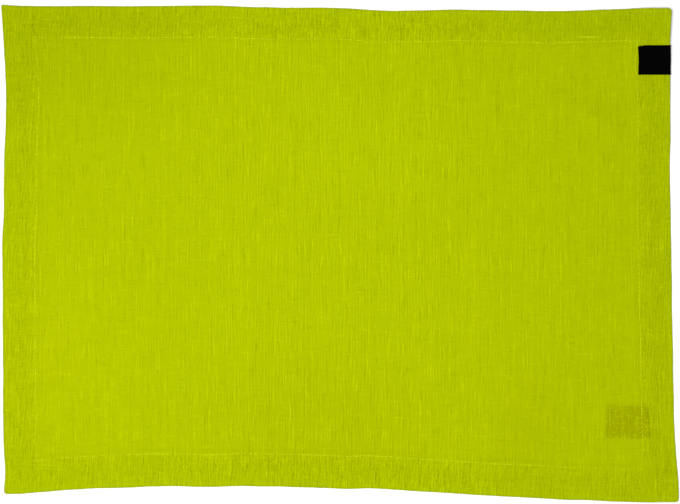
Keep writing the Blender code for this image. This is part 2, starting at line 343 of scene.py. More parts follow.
def rounded(x, y, inset):
    """Return a point of the outline, moved onto the round of its corner if it is near one."""
    side_x, side_y = math.copysign(1.0, x), math.copysign(1.0, y)
    radius = CORNER_RADII[side_x, side_y] - inset
    if radius <= 0:
        return x, y
    corner_x, corner_y = corner_spot(side_x, side_y, inset)
    centre_x, centre_y = corner_x - side_x * radius, corner_y - side_y * radius
    beyond_x, beyond_y = (x - centre_x) * side_x, (y - centre_y) * side_y
    if beyond_x <= 0 or beyond_y <= 0:
        return x, y
    shrink = radius / math.hypot(beyond_x, beyond_y)
    return centre_x + side_x * beyond_x * shrink, centre_y + side_y * beyond_y * shrink


def edge_distances(x, y):
    """Return the distances to the nearer of the left and right edges, and of the other two."""
    beside = min(edge_out(LEFT_EDGE, y) + x, edge_out(RIGHT_EDGE, y) - x)
    beyond = min(edge_out(BOTTOM_EDGE, x) + y, edge_out(TOP_EDGE, x) - y)
    return beside, beyond


def wandered(inset, x, y):
    """Return an inset in the hem after its uneven sewing has drawn it in or out."""
    share = climb(inset, WANDER_START, WANDER_FULL) * (1 - climb(inset, HEM_RIM, PANEL_RIM))
    wander = HEM_WANDER * noise.noise(Vector((x, y, 0.0)) / HEM_WANDER_LENGTH)
    if y > 0:
        from_top = edge_out(TOP_EDGE, x) - y
        wander -= TOP_SHALLOWER * (1 - climb(from_top, PANEL_RIM, PANEL_RIM + TOP_SHALLOWER_FADE))
    if x > 0:
        beside = edge_out(RIGHT_EDGE, y) - x
        near_edge = 1 - climb(beside, PANEL_RIM, PANEL_RIM + LABEL_BOW_FADE)
        middle = (EDGE_LABEL_LOW + EDGE_LABEL_HIGH) / 2
        wander += LABEL_BOW * near_edge * fall(abs(y - middle) / LABEL_BOW_REACH)
    return inset + share * wander


def lifted(lift, x, y):
    """Return how far a lift raises the cloth at x and y."""
    beside = max(lift.left - x, x - lift.right, 0.0)
    beyond = max(lift.low - y, y - lift.high, 0.0)
    return lift.height * fall(math.hypot(beside, beyond) / lift.fade)


def ground(x, y):
    """Return how high over the table the cloth's lowest layer lies."""
    height = lifted(EDGE_LABEL_LIFT, x, y)
    for rise in RISES:
        if math.hypot(x - rise.x, y - rise.y) > rise.length + rise.width:
            continue
        turn = math.radians(rise.turn)
        along = (x - rise.x) * math.cos(turn) + (y - rise.y) * math.sin(turn)
        across = (y - rise.y) * math.cos(turn) - (x - rise.x) * math.sin(turn)
        height += rise.height * fall(abs(along) / rise.length) * fall(abs(across) / rise.width)
    return height + RUMPLE_HEIGHT * (1 + noise.noise(Vector((x, y, 0.0)) / RUMPLE_SIZE)) / 2


def pucker(x, y):
    """Return how high the stitches' gathers ripple the top layer, across the line of the hem."""
    beside, beyond = edge_distances(x, y)
    near = math.exp(-((min(beside, beyond) - STITCH_LINE) / PUCKER_WIDTH) ** 2)
    if near < PUCKER_LEAST:
        return 0.0
    along_side = noise.noise(Vector((x / PUCKER_REACH, y / PUCKER_LENGTH, SIDE_PUCKERS)))
    along_end = noise.noise(Vector((x / PUCKER_LENGTH, y / PUCKER_REACH, END_PUCKERS)))
    ripple = blend(along_end, along_side, climb(beyond - beside, -PUCKER_TURN, PUCKER_TURN))
    return PUCKER_HEIGHT * near * (1 + ripple) / 2


def over_height(inset):
    """Return the height of the middle of the top layer over the ground."""
    on_turned_in = climb(inset, RAW_EDGE - SAG, RAW_EDGE)
    to_table = climb(inset, HEM_RIM, PANEL_RIM)
    return LOWEST + LAYER * (1 + on_turned_in - 2 * to_table)


def top_surface(x, y, inset):
    """Return the height of the mat's upper surface at a place."""
    return (over_height(inset) + CLOTH_THICK / 2 + ground(x, y) + pucker(x, y)
            + lifted(CARE_LABEL_LIFT, x, y) * climb(inset, CARE_LIFT_START, CARE_LABEL_TUCK))


# A ring of the hem: its inset, its height over the ground, its place on the flat cloth,
# and the shares of the care label's lift and of the puckers that it takes.
Ring = namedtuple("Ring", "inset height flat care ripple")


def fold_round(inset, height, radius, facets, turned_out):
    """Return the insets and heights round a fold, downwards if it is turned out, else upwards."""
    turns = [math.pi * facet / facets for facet in range(facets + 1)]
    way = 1 if turned_out else -1
    return [(inset - way * radius * math.sin(turn), height + way * radius * math.cos(turn))
            for turn in turns]


def hem_rings():
    """Return the hem's rings from the panel's rim out, round the fold, back under and turned in."""
    inner_fold = HEM_DEPTH - CLOTH_THICK / 2 - LAYER / 2
    path = [(inset, over_height(inset)) for inset in OVER_HEM]
    path += fold_round(FOLD_INSET, FOLD_HEIGHT, LAYER / 2, FOLD_FACETS, True)
    path += [(inset, LOWEST) for inset in UNDER_HEM]
    path += fold_round(inner_fold, FOLD_HEIGHT, LAYER / 2, INNER_FOLD_FACETS, False)
    path += [(inset, LOWEST + LAYER) for inset in TURNED_IN]
    rings = []
    flat, before = PANEL_RIM, (PANEL_RIM, over_height(PANEL_RIM))
    for place, (inset, height) in enumerate(path):
        flat -= math.dist(before, (inset, height))
        before = (inset, height)
        on_top = place < len(OVER_HEM)
        sink = STITCH_SINK if inset == STITCH_LINE else 0.0
        care = climb(inset, CARE_LIFT_START, CARE_LABEL_TUCK) if on_top else 0.0
        rings.append(Ring(inset, height - sink if on_top else height + sink, flat, care, float(on_top)))
    return rings


def grid_lines(edge):
    """Return the cloth's grid lines along an edge, as shares of the panel, closer at its ends."""
    side = edge[-1].along - edge[0].along - 2 * PANEL_RIM
    first, last = CORNER_STEPS[-1], side - CORNER_STEPS[-1]
    cells = math.ceil((last - first) / GRID_STEP)
    middle = [blend(first, last, cell / cells) for cell in range(1, cells)]
    places = [0.0, *CORNER_STEPS, *middle, *[side - step for step in reversed(CORNER_STEPS)], side]
    return [place / side for place in places]


def add_piece(name, mesh, finishes):
    """Add a mesh with its finishes as a piece of the mat."""
    for finish in finishes:
        mesh.materials.append(finish)
    piece = bpy.data.objects.new(name, mesh)
    bpy.context.scene.collection.objects.link(piece)
    return piece


def finish_sheet(name, grid, flat_of, finish, thickness):
    """Turn a sheet's grid to a smooth piece, thick to both sides, with its flat cut as its UV map."""
    bmesh.ops.recalc_face_normals(grid, faces=grid.faces)
    flat_map = grid.loops.layers.uv.new("flat_cut")
    for face in grid.faces:
        for loop in face.loops:
            loop[flat_map].uv = loop.vert[flat_of].xy
    grid.verts.layers.float_vector.remove(flat_of)
    mesh = bpy.data.meshes.new(name)
    grid.to_mesh(mesh)
    grid.free()
    mesh.shade_smooth()
    piece = add_piece(name, mesh, [finish])
    thick = piece.modifiers.new("thickness", "SOLIDIFY")
    thick.thickness = thickness * MM
    thick.offset = 0.0
    return piece


def add_linen_cloth(finish):
    """Add the cloth: its panel is a grid, and the hem is drawn on from the rim ring by ring."""
    columns, rows = grid_lines(BOTTOM_EDGE), grid_lines(RIGHT_EDGE)
    grid = bmesh.new()
    bmesh.ops.create_grid(grid, x_segments=len(columns) - 1, y_segments=len(rows) - 1, size=1.0)
    column_of = grid.verts.layers.int.new("column")
    row_of = grid.verts.layers.int.new("row")
    flat_of = grid.verts.layers.float_vector.new("flat_place")
    distance_of = grid.verts.layers.float.new("edge_distance")
    # painted light and shade: how much of each colour the broad lighter and darker places leave
    painted_shade_of = grid.verts.layers.float_vector.new("painted_light_and_shade")
    for vert in grid.verts:
        vert[column_of] = round((vert.co.x + 1) / 2 * (len(columns) - 1))
        vert[row_of] = round((vert.co.y + 1) / 2 * (len(rows) - 1))
        x, y = spot(columns[vert[column_of]], rows[vert[row_of]], PANEL_RIM)
        z = LOWEST + ground(x, y) + pucker(x, y) + lifted(CARE_LABEL_LIFT, x, y)
        vert.co = (x * MM, y * MM, z * MM)
        vert[flat_of] = (x * MM, y * MM, 0.0)
        vert[distance_of] = min(edge_distances(x, y)) * MM
        vert[painted_shade_of] = painted_light_and_shade(x, y)

    rim = [side for side in grid.edges if side.is_boundary]
    for ring in hem_rings():
        drawn = bmesh.ops.extrude_edge_only(grid, edges=rim)["geom"]
        rim = [part for part in drawn if isinstance(part, bmesh.types.BMEdge)]
        for vert in [part for part in drawn if isinstance(part, bmesh.types.BMVert)]:
            u, v = columns[vert[column_of]], rows[vert[row_of]]
            inset = wandered(ring.inset, *spot(u, v, ring.inset))
            x, y = rounded(*spot(u, v, inset), inset)
            z = ring.height + ground(x, y) + ring.care * lifted(CARE_LABEL_LIFT, x, y)
            z += ring.ripple * pucker(x, y)
            if u in (0.0, 1.0) and v in (0.0, 1.0):
                z += MITRE_RISE if ring.ripple else MITRE_SINK
            flat_x, flat_y = spot(u, v, ring.flat)
            vert.co = (x * MM, y * MM, z * MM)
            vert[flat_of] = (flat_x * MM, flat_y * MM, 0.0)
            vert[distance_of] = ring.inset * MM
            vert[painted_shade_of] = painted_light_and_shade(x, y)
    grid.verts.layers.int.remove(grid.verts.layers.int["column"])
    grid.verts.layers.int.remove(grid.verts.layers.int["row"])
    flat_of = grid.verts.layers.float_vector["flat_place"]
    return finish_sheet("linen_cloth", grid, flat_of, finish, CLOTH_THICK)


# ================================================================= the two labels
def add_label(name, low, high, path_at, slant, finish, thickness):
    """Add a label between two places along the right edge, on a path of x and height."""
    grid = bmesh.new()
    steps = len(path_at(low)) - 1
    bmesh.ops.create_grid(grid, x_segments=steps, y_segments=LABEL_ROWS, size=1.0)
    flat_of = grid.verts.layers.float_vector.new("flat_place")
    for vert in grid.verts:
        y = blend(low, high, (vert.co.y + 1) / 2)
        path = path_at(y)
        step = round((vert.co.x + 1) / 2 * steps)
        run = sum(math.dist(near, far) for near, far in zip(path[:step], path[1:step + 1]))
        x, height = path[step]
        y -= slant * (y - low) / (high - low) * fall((x - path[0][0]) / RIBBON_SLANT_RUN)
        vert.co = (x * MM, y * MM, height * MM)
        vert[flat_of] = (run * MM, y * MM, 0.0)
    return finish_sheet(name, grid, flat_of, finish, thickness)


def edge_label_height(y, inset):
    """Return the height of the middle of the edge label's upper run, over the hem."""
    x = edge_out(RIGHT_EDGE, y) - inset
    return top_surface(x, y, inset) + RIBBON_AIR + RIBBON_THICK / 2


def edge_label_path(y):
    """Return the edge label's run: over the hem, round its fold and back under it."""
    out = edge_out(RIGHT_EDGE, y)
    lay = ground(out, y)
    radius = FOLD_INSET + RIBBON_AIR + RIBBON_THICK / 2
    across = (y - EDGE_LABEL_LOW) / (EDGE_LABEL_HIGH - EDGE_LABEL_LOW)
    drawn_in = RIBBON_BOW * 4 * across * (1 - across)
    insets = [EDGE_LABEL_REACH - drawn_in, *EDGE_LABEL_INSETS]
    path = [(out - inset, edge_label_height(y, inset)) for inset in insets]
    path += [(out - inset, height + lay)
             for inset, height in fold_round(FOLD_INSET, FOLD_HEIGHT, radius, RIBBON_FACETS, True)]
    path += [(out - inset, ground(out - inset, y) - RIBBON_AIR - RIBBON_THICK / 2)
             for inset in reversed(insets)]
    return path


def care_label_path(y):
    """Return the care label's run: along the table, then up over the turned-in edge of the hem."""
    out = edge_out(RIGHT_EDGE, y)
    half = TAPE_THICK / 2
    over_turned_in = LOWEST + LAYER + CLOTH_THICK / 2 + RIBBON_AIR + half
    path = []
    for inset in (out - CARE_LABEL_FREE_END, *CARE_LABEL_INSETS):
        climbed = 1 - climb(inset, HEM_RIM, PANEL_RIM)
        sunk = 1 - climb(inset, CARE_LABEL_TUCK, RAW_EDGE)
        height = blend(half, over_turned_in, climbed) - LAYER * sunk * CARE_LABEL_SAG
        path.append((out - inset, height + ground(out - inset, y)))
    return path


# ================================================= node trees, for pieces and finishes
def add_node(tree, kind, inputs=(), **settings):
    """Add a node with its settings, and give its inputs, by name or in order, a value or a link.

    A node given as a value stands for its first output.
    """
    node = tree.nodes.new(kind)
    for name, value in settings.items():
        setattr(node, name, value)
    for key, value in inputs.items() if isinstance(inputs, dict) else enumerate(inputs):
        if isinstance(value, bpy.types.Node):
            value = value.outputs[0]
        if isinstance(value, bpy.types.NodeSocket):
            tree.links.new(value, node.inputs[key])
        else:
            node.inputs[key].default_value = value
    return node


def new_tree(name, sizes):
    """Start a Geometry Nodes tree that takes a line, some named sizes and a finish."""
    tree = bpy.data.node_groups.new(name, "GeometryNodeTree")
    tree.interface.new_socket("Line", in_out="INPUT", socket_type="NodeSocketGeometry")
    for size in sizes:
        tree.interface.new_socket(size, in_out="INPUT", socket_type="NodeSocketFloat")
    tree.interface.new_socket("Finish", in_out="INPUT", socket_type="NodeSocketMaterial")
    tree.interface.new_socket("Piece", in_out="OUTPUT", socket_type="NodeSocketGeometry")
    return tree, add_node(tree, "NodeGroupInput").outputs


def close_tree(tree, made, finish):
    """Close a tree: what it made becomes real, takes its finish and goes out as the piece."""
    real = add_node(tree, "GeometryNodeRealizeInstances", [made])
    dressed = add_node(tree, "GeometryNodeSetMaterial", {"Geometry": real, "Material": finish})
    add_node(tree, "NodeGroupOutput", {"Piece": dressed})


def grow(name, tree, points, edges, sizes, finish, slub_radii=()):
    """Run a tree on a line, and keep the plain mesh that it makes as a piece."""
    line = bpy.data.meshes.new(name)
    line.from_pydata([[part * MM for part in point] for point in points], edges, [])
    if slub_radii:
        line.attributes.new("slub_radius", "FLOAT", "POINT").data.foreach_set("value", slub_radii)
    piece = add_piece(name, line, [])
    nodes = piece.modifiers.new("grown", "NODES")
    nodes.node_group = tree
    sockets = {item.name: item.identifier for item in tree.interface.items_tree if item.in_out == "INPUT"}
    for size, value in sizes.items():
        nodes[sockets[size]] = value * MM
    nodes[sockets["Finish"]] = finish
    evaluated = piece.evaluated_get(bpy.context.evaluated_depsgraph_get())
    made = bpy.data.meshes.new_from_object(evaluated)
    piece.modifiers.remove(nodes)
    piece.data = made
    return piece


def sewn_row_tree():
    """Build the tree that sews a row of stitches along a line: each dips at both its ends."""
    tree, given = new_tree("sewn_row", ["Pitch", "Stitch Length", "Thread Radius", "Rise"])
    line = add_node(tree, "GeometryNodeMeshToCurve", {"Mesh": given["Line"]})
    holes = add_node(tree, "GeometryNodeCurveToPoints", {"Curve": line, "Length": given["Pitch"]},
                     mode="LENGTH")

    # one stitch: a short run of thread, bowed down at its ends
    half = add_node(tree, "ShaderNodeMath", [given["Stitch Length"], 0.5], operation="MULTIPLY")
    back = add_node(tree, "ShaderNodeMath", [half, -1.0], operation="MULTIPLY")
    start = add_node(tree, "ShaderNodeCombineXYZ", {"X": back})
    end = add_node(tree, "ShaderNodeCombineXYZ", {"X": half})
    run = add_node(tree, "GeometryNodeCurvePrimitiveLine", {"Start": start, "End": end})
    thread_line = add_node(tree, "GeometryNodeResampleCurve", {"Curve": run, "Count": STITCH_POINTS})
    place = add_node(tree, "GeometryNodeInputPosition")
    along = add_node(tree, "ShaderNodeSeparateXYZ", [place])
    share = add_node(tree, "ShaderNodeMath", [along, half], operation="DIVIDE")
    squared = add_node(tree, "ShaderNodeMath", [share, share], operation="MULTIPLY")
    dip = add_node(tree, "ShaderNodeMath", [squared, given["Rise"]], operation="MULTIPLY")
    down = add_node(tree, "ShaderNodeMath", [dip, -1.0], operation="MULTIPLY")
    offset = add_node(tree, "ShaderNodeCombineXYZ", {"Z": down})
    bowed = add_node(tree, "GeometryNodeSetPosition", {"Geometry": thread_line, "Offset": offset})
    girth = add_node(tree, "GeometryNodeCurvePrimitiveCircle",
                     {"Resolution": STITCH_FACETS, "Radius": given["Thread Radius"]})
    stitch = add_node(tree, "GeometryNodeCurveToMesh",
                      {"Curve": bowed, "Profile Curve": girth, "Fill Caps": True})
    smooth = add_node(tree, "GeometryNodeSetShadeSmooth", [stitch])

    # the row: no two stitches lie, pull or wear quite alike
    heading = add_node(tree, "FunctionNodeAlignRotationToVector", {"Vector": holes.outputs["Tangent"]},
                       axis="X", pivot_axis="Z")
    slew = add_node(tree, "FunctionNodeRandomValue",
                    {"Min": (0.0, 0.0, -STITCH_SLEW), "Max": (0.0, 0.0, STITCH_SLEW), "Seed": SLEW_SEED},
                    data_type="FLOAT_VECTOR")
    slewed = add_node(tree, "FunctionNodeRotateRotation", {"Rotation": heading, "Rotate By": slew})
    tension = add_node(tree, "FunctionNodeRandomValue",
                       {"Min": LEAST_STITCH, "Max": LARGEST_STITCH, "Seed": TENSION_SEED},
                       data_type="FLOAT_VECTOR")
    row = add_node(tree, "GeometryNodeInstanceOnPoints",
                   {"Points": holes, "Instance": smooth, "Rotation": slewed, "Scale": tension})
    wear = add_node(tree, "FunctionNodeRandomValue", {2: 0.0, 3: 1.0, "Seed": WEAR_SEED}, data_type="FLOAT")
    toned = add_node(tree, "GeometryNodeStoreNamedAttribute",
                     {"Geometry": row, "Name": "stitch_tone", "Value": wear.outputs[1]},
                     data_type="FLOAT", domain="INSTANCE")
    close_tree(tree, toned, given["Finish"])
    return tree


def spun_slub_tree():
    """Build the tree that swells short lines to flat spindles of loosely spun yarn."""
    tree, given = new_tree("spun_slub", ["Girth"])
    line = add_node(tree, "GeometryNodeMeshToCurve", {"Mesh": given["Line"]})
    upright = add_node(tree, "GeometryNodeSetCurveNormal", {"Curve": line}, mode="Z_UP")
    along = add_node(tree, "GeometryNodeSplineParameter")
    turn = add_node(tree, "ShaderNodeMath", [along.outputs["Factor"], math.pi], operation="MULTIPLY")
    belly = add_node(tree, "ShaderNodeMath", [turn], operation="SINE")
    swell = add_node(tree, "ShaderNodeMath", [belly, 1 - SLUB_TIP, SLUB_TIP], operation="MULTIPLY_ADD")
    radius = add_node(tree, "GeometryNodeInputNamedAttribute", {"Name": "slub_radius"}, data_type="FLOAT")
    girth = add_node(tree, "ShaderNodeMath", [swell, radius], operation="MULTIPLY")
    ring = add_node(tree, "GeometryNodeCurvePrimitiveCircle",
                    {"Resolution": SLUB_FACETS, "Radius": given["Girth"]})
    pressed = add_node(tree, "GeometryNodeTransform", {"Geometry": ring, "Scale": (1.0, SLUB_FLATNESS, 1.0)})
    yarn = add_node(tree, "GeometryNodeCurveToMesh",
                    {"Curve": upright, "Profile Curve": pressed, "Scale": girth, "Fill Caps": True})
    smooth = add_node(tree, "GeometryNodeSetShadeSmooth", [yarn])
    close_tree(tree, smooth, given["Finish"])
    return tree


# ======================================================================== sewing
def seam_spots():
    """Return the spots of the line that the hem is sewn along, once round the mat."""
    across = round((BOTTOM_EDGE[-1].along - BOTTOM_EDGE[0].along) / PATH_STEP)
    up = round((RIGHT_EDGE[-1].along - RIGHT_EDGE[0].along) / PATH_STEP)
    shares = [(step / across, 0.0) for step in range(across)]
    shares += [(1.0, step / up) for step in range(up)]
    shares += [(1 - step / across, 1.0) for step in range(across)]
    shares += [(0.0, 1 - step / up) for step in range(up)]
    spots = []
    for u, v in shares:
        inset = wandered(STITCH_LINE, *spot(u, v, STITCH_LINE))
        spots.append(spot(u, v, inset))
    return spots


def sunk_seam(x, y):
    """Return how deep the seam has sunk, so that its stitches all but vanish in places."""
    uneven = SEAM_UNEVEN * noise.noise(Vector((x, y, 0.0)) / SEAM_RUN)
    over_label = lifted(CARE_LABEL_LIFT, x, y) / CARE_LABEL_LIFT.height
    sunk = sum(sink.depth * fall(math.hypot(x - sink.x, y - sink.y) / sink.reach) for sink in SINKS)
    return max(SEAM_SINK + uneven - SEAM_OVER_LABEL * over_label + sunk, 0.0)


def add_hem_stitches(tree, thread):
    """Sew the hem down: one row of stitches shows on the right side and one on the underside."""
    spots = seam_spots()
    ring = [(place, (place + 1) % len(spots)) for place in range(len(spots))]
    sizes = {"Pitch": STITCH_PITCH, "Stitch Length": STITCH_LENGTH, "Thread Radius": THREAD_RADIUS}
    proud = THREAD_RADIUS * THREAD_PROUD
    top = [(x, y, top_surface(x, y, STITCH_LINE) - STITCH_SINK + proud - sunk_seam(x, y)) for x, y in spots]
    under = [(x, y, ground(x, y) + THREAD_RADIUS) for x, y in spots]
    return (grow("hem_stitches_top", tree, top, ring, {**sizes, "Rise": STITCH_RISE}, thread),
            grow("hem_stitches_under", tree, under, ring, {**sizes, "Rise": -STITCH_RISE}, thread))


def add_label_stitches(tree, thread):
    """Sew the edge label down along its inner end, on both faces."""
    inset = EDGE_LABEL_REACH - BLACK_SEAM
    count = round((EDGE_LABEL_HIGH - EDGE_LABEL_LOW) / PATH_STEP)
    rows = [blend(EDGE_LABEL_LOW + BLACK_MARGIN, EDGE_LABEL_HIGH - BLACK_MARGIN, step / count)
            for step in range(count + 1)]
    edges = [(place, place + 1) for place in range(count)]
    sizes = {"Pitch": BLACK_PITCH, "Stitch Length": BLACK_PITCH * BLACK_FILL,
             "Thread Radius": THREAD_RADIUS * BLACK_THREAD}
    spots = [(edge_out(RIGHT_EDGE, y) - inset, y) for y in rows]
    top = [(x, y, edge_label_height(y, inset) + RIBBON_THICK / 2 + THREAD_RADIUS * BLACK_PROUD)
           for x, y in spots]
    under = [(x, y, ground(x, y) - RIBBON_AIR - RIBBON_THICK + THREAD_RADIUS * BLACK_SUNK)
             for x, y in spots]
    return (grow("label_stitches_top", tree, top, edges, {**sizes, "Rise": STITCH_RISE}, thread),
            grow("label_stitches_under", tree, under, edges, {**sizes, "Rise": -STITCH_RISE}, thread))


def scattered_slubs():
    """Return the small slubs, scattered over the mat along its warp and its weft."""
    draw = random.Random(LOOSE_SEED)
    slubs = []
    for _ in range(LOOSE_SLUBS):
        x, y = draw.uniform(*LOOSE_ACROSS), draw.uniform(*LOOSE_UP)
        turn = 90.0 if draw.random() < LOOSE_WARP else 0.0
        slubs.append(Slub(x, y, draw.uniform(*LOOSE_LENGTHS), turn, draw.uniform(*LOOSE_RADII)))
    return slubs


def add_slubs(finish):
    """Lay the slubs on the cloth, half sunk in it, each along a yarn."""
    points, edges, radii = [], [], []
    for slub in SLUBS + scattered_slubs():
        if slub.x > LABEL_SIDE and EDGE_LABEL_LOW - LABEL_CLEAR < slub.y < EDGE_LABEL_HIGH + LABEL_CLEAR:
            continue
        steps = max(SLUB_STEPS, round(slub.length * 2 / PATH_STEP))
        turn = math.radians(slub.turn)
        for step in range(steps + 1):
            along = blend(-slub.length, slub.length, step / steps)
            x, y = slub.x + along * math.cos(turn), slub.y + along * math.sin(turn)
            points.append((x, y, top_surface(x, y, min(edge_distances(x, y)))))
            radii.append(slub.radius)
            if step:
                edges.append((len(points) - 2, len(points) - 1))
    return grow("linen_slubs", spun_slub_tree(), points, edges, {"Girth": SLUB_GIRTH}, finish, radii)


# ====================================================================== finishes
LINEN_HEX = "9CAB00"
SLUB_HEX = "ABBB08"
THREAD_HEX = "ADBB0B"
BLACK_HEX = "020203"
CHARCOAL_HEX = "2B2B2E"
TABLE_HEX = "F6F6F6"


def linear(hex_colour):
    """Return the linear colour that a shader takes, from an sRGB hex value."""
    srgb = [int(hex_colour[place:place + 2], 16) / 255 for place in (0, 2, 4)]
    return tuple(((part + 0.055) / 1.055) ** 2.4 if part > 0.04045 else part / 12.92 for part in srgb)


def new_finish(name):
    """Start a finish with an empty tree, and return it with that tree."""
    material = bpy.data.materials.new(name)
    material.use_nodes = True
    material.node_tree.nodes.clear()
    return material, material.node_tree


def close_finish(tree, colour, relief, strength, depth, gloss):
    """Close a finish: its relief, so many millimetres deep, its colour and its gloss."""
    bump = add_node(tree, "ShaderNodeBump", {"Strength": strength, "Distance": depth * MM, "Height": relief})
    shader = add_node(tree, "ShaderNodeBsdfPrincipled", {"Base Color": colour, "Normal": bump, **gloss})
    add_node(tree, "ShaderNodeOutputMaterial", {"Surface": shader})


def flat_place(tree):
    """Return a spot's place on the flat cut of its sheet, in millimetres."""
    flat_cut = add_node(tree, "ShaderNodeUVMap", uv_map="flat_cut")
    return add_node(tree, "ShaderNodeVectorMath", {0: flat_cut, "Scale": 1 / MM}, operation="SCALE")


# Patches are a soft change of shade: their size in millimetres, and how finely they are broken up.
Patch = namedtuple("Patch", "across along detail")
PATCH_ROUGHNESS = 0.55


def patch_shade(tree, place_mm, patch):
    """Return a shade that changes softly over patches, around 0.5."""
    drawn = add_node(tree, "ShaderNodeVectorMath", [place_mm, (1 / patch.across, 1 / patch.along, 1.0)],
                     operation="MULTIPLY")
    return add_node(tree, "ShaderNodeTexNoise",
                    {"Vector": drawn, "Scale": 1.0, "Detail": patch.detail, "Roughness": PATCH_ROUGHNESS},
                    noise_dimensions="2D")


# ------------------------------------------------------------- the linen's yarns
YARN_PITCH = 0.7            # from yarn to yarn: drawn coarser than 0.5, as it is too fine to show
YARN_APART = 7.0            # how far neighbouring yarns lie apart in the noise that tones them
YARN_SHIFT = (0.5, 0.5, 0.0)    # keeps them off the lines on which that noise hardly changes
RUN_STEP = 0.01             # along a yarn its tone isn't stepped, or no more than this
SWAY = 1.4                  # how far the yarns sway, and over what length
SWAY_LENGTH = 34.0
REED_PITCH = 2.3            # the loom's reed groups the warp, which leaves faint ribs this far apart
REED_DRIFT = 10.0           # how far the ribs run out of step, in radians, and over what width
REED_DRIFT_ACROSS = 5.0
RIB_RUN = 30.0              # how far a rib runs straight
WEAVE_RELIEF = 0.5          # how much of the relief is the weave itself

# A streak is a tone that differs from yarn to yarn: how far it runs along one, how strong it is.
Streak = namedtuple("Streak", "run strength")
WARP_STREAKS = [Streak(run=36.0, strength=0.105), Streak(run=12.0, strength=0.1),
                Streak(run=2.0, strength=0.085)]
WEFT_STREAKS = [Streak(run=14.0, strength=0.055), Streak(run=3.0, strength=0.06)]

# A spread turns a shade or a distance, from start to end, to a strength, from low to high.
# The yarns stand out in patches, and the ribs by the way from the mat's middle to its ends.
Spread = namedtuple("Spread", "start end low high")
WARP_PATCH = Patch(across=5.5, along=9.0, detail=0.0)
WARP_SPREAD = Spread(start=0.25, end=0.75, low=0.3, high=1.7)
WEFT_PATCH = Patch(across=9.0, along=4.0, detail=0.0)
WEFT_SPREAD = Spread(start=0.4, end=0.75, low=0.3, high=2.2)
RIB_STRENGTH = Spread(start=60.0, end=160.0, low=0.052, high=0.021)
MOTTLE_PATCH = Patch(across=9.0, along=11.0, detail=1.0)
MOTTLE = 0.06               # how strong the cloth's own mottle is
BASE_TONE = 0.967           # the tone that all of these are added to


def yarn_shade(tree, place_mm, streak, warp):
    """Return a shade that jumps from yarn to yarn and wanders along each, around 0.5."""
    apart, run = YARN_APART / YARN_PITCH, 1 / streak.run
    steps = (YARN_PITCH, RUN_STEP, 1.0) if warp else (RUN_STEP, YARN_PITCH, 1.0)
    stretch = (apart, run, 1.0) if warp else (run, apart, 1.0)
    yarn = add_node(tree, "ShaderNodeVectorMath", [place_mm, steps], operation="SNAP")
    own = add_node(tree, "ShaderNodeVectorMath", [yarn, stretch, YARN_SHIFT], operation="MULTIPLY_ADD")
    return add_node(tree, "ShaderNodeTexNoise", {"Vector": own, "Scale": 1.0, "Detail": 0.0},
                    noise_dimensions="2D")


def woven_streaks(tree, place_mm, warp_streaks, weft_streaks):
    """Return the sum of a weave's streaks, around 0: warp yarns run along Y, weft yarns along X."""
    streaks = [(streak, True) for streak in warp_streaks] + [(streak, False) for streak in weft_streaks]
    total = -sum(streak.strength for streak, _ in streaks) / 2
    for streak, warp in streaks:
        shade = yarn_shade(tree, place_mm, streak, warp)
        total = add_node(tree, "ShaderNodeMath", [shade, streak.strength, total], operation="MULTIPLY_ADD")
    return total


def reed_ribs(tree, place_mm, run):
    """Return the faint ribs that the loom's reed leaves along the warp, around 0."""
    across = add_node(tree, "ShaderNodeSeparateXYZ", [place_mm])
    turn = add_node(tree, "ShaderNodeMath", [across, math.tau / REED_PITCH], operation="MULTIPLY")
    drift = patch_shade(tree, place_mm, Patch(REED_DRIFT_ACROSS, run, 1.0))
    turn = add_node(tree, "ShaderNodeMath", [drift, REED_DRIFT, turn], operation="MULTIPLY_ADD")
    return add_node(tree, "ShaderNodeMath", [turn], operation="SINE")


def top_yarns(tree, flat_mm, swayed, aside, tone):
    """Return a tone with the top layer's yarns on it: they stand out in patches, its ribs in the middle."""
    ribbed = add_node(tree, "ShaderNodeMapRange", [aside, *RIB_STRENGTH], interpolation_type="SMOOTHSTEP")
    ribs = reed_ribs(tree, swayed, RIB_RUN)
    streaks = woven_streaks(tree, swayed, WARP_STREAKS, [])
    warp = add_node(tree, "ShaderNodeMath", [ribs, ribbed, streaks], operation="MULTIPLY_ADD")
    lighter = add_node(tree, "ShaderNodeMath", [warp, warp, warp], operation="MULTIPLY_ADD")
    weft = woven_streaks(tree, swayed, [], WEFT_STREAKS)
    for yarns, patch, spread in ((lighter, WARP_PATCH, WARP_SPREAD), (weft, WEFT_PATCH, WEFT_SPREAD)):
        patches = add_node(tree, "ShaderNodeMapRange", [patch_shade(tree, flat_mm, patch), *spread])
        tone = add_node(tree, "ShaderNodeMath", [yarns, patches, tone], operation="MULTIPLY_ADD")
    return add_node(tree, "ShaderNodeMath", [patch_shade(tree, swayed, MOTTLE_PATCH), MOTTLE, tone],
                    operation="MULTIPLY_ADD")


def weave_cells(tree, swayed):
    """Return the weave's own relief: a cell for each crossing of the yarns, raised in its middle."""
    cells = 1.0
    parts = add_node(tree, "ShaderNodeSeparateXYZ", [swayed])
    for axis in ("X", "Y"):
        turn = add_node(tree, "ShaderNodeMath", [parts.outputs[axis], math.pi / YARN_PITCH],
                        operation="MULTIPLY")
        ridge = add_node(tree, "ShaderNodeMath", [turn], operation="SINE")
        ridge = add_node(tree, "ShaderNodeMath", [ridge], operation="ABSOLUTE")
        cells = add_node(tree, "ShaderNodeMath", [cells, ridge], operation="MULTIPLY")
    return cells


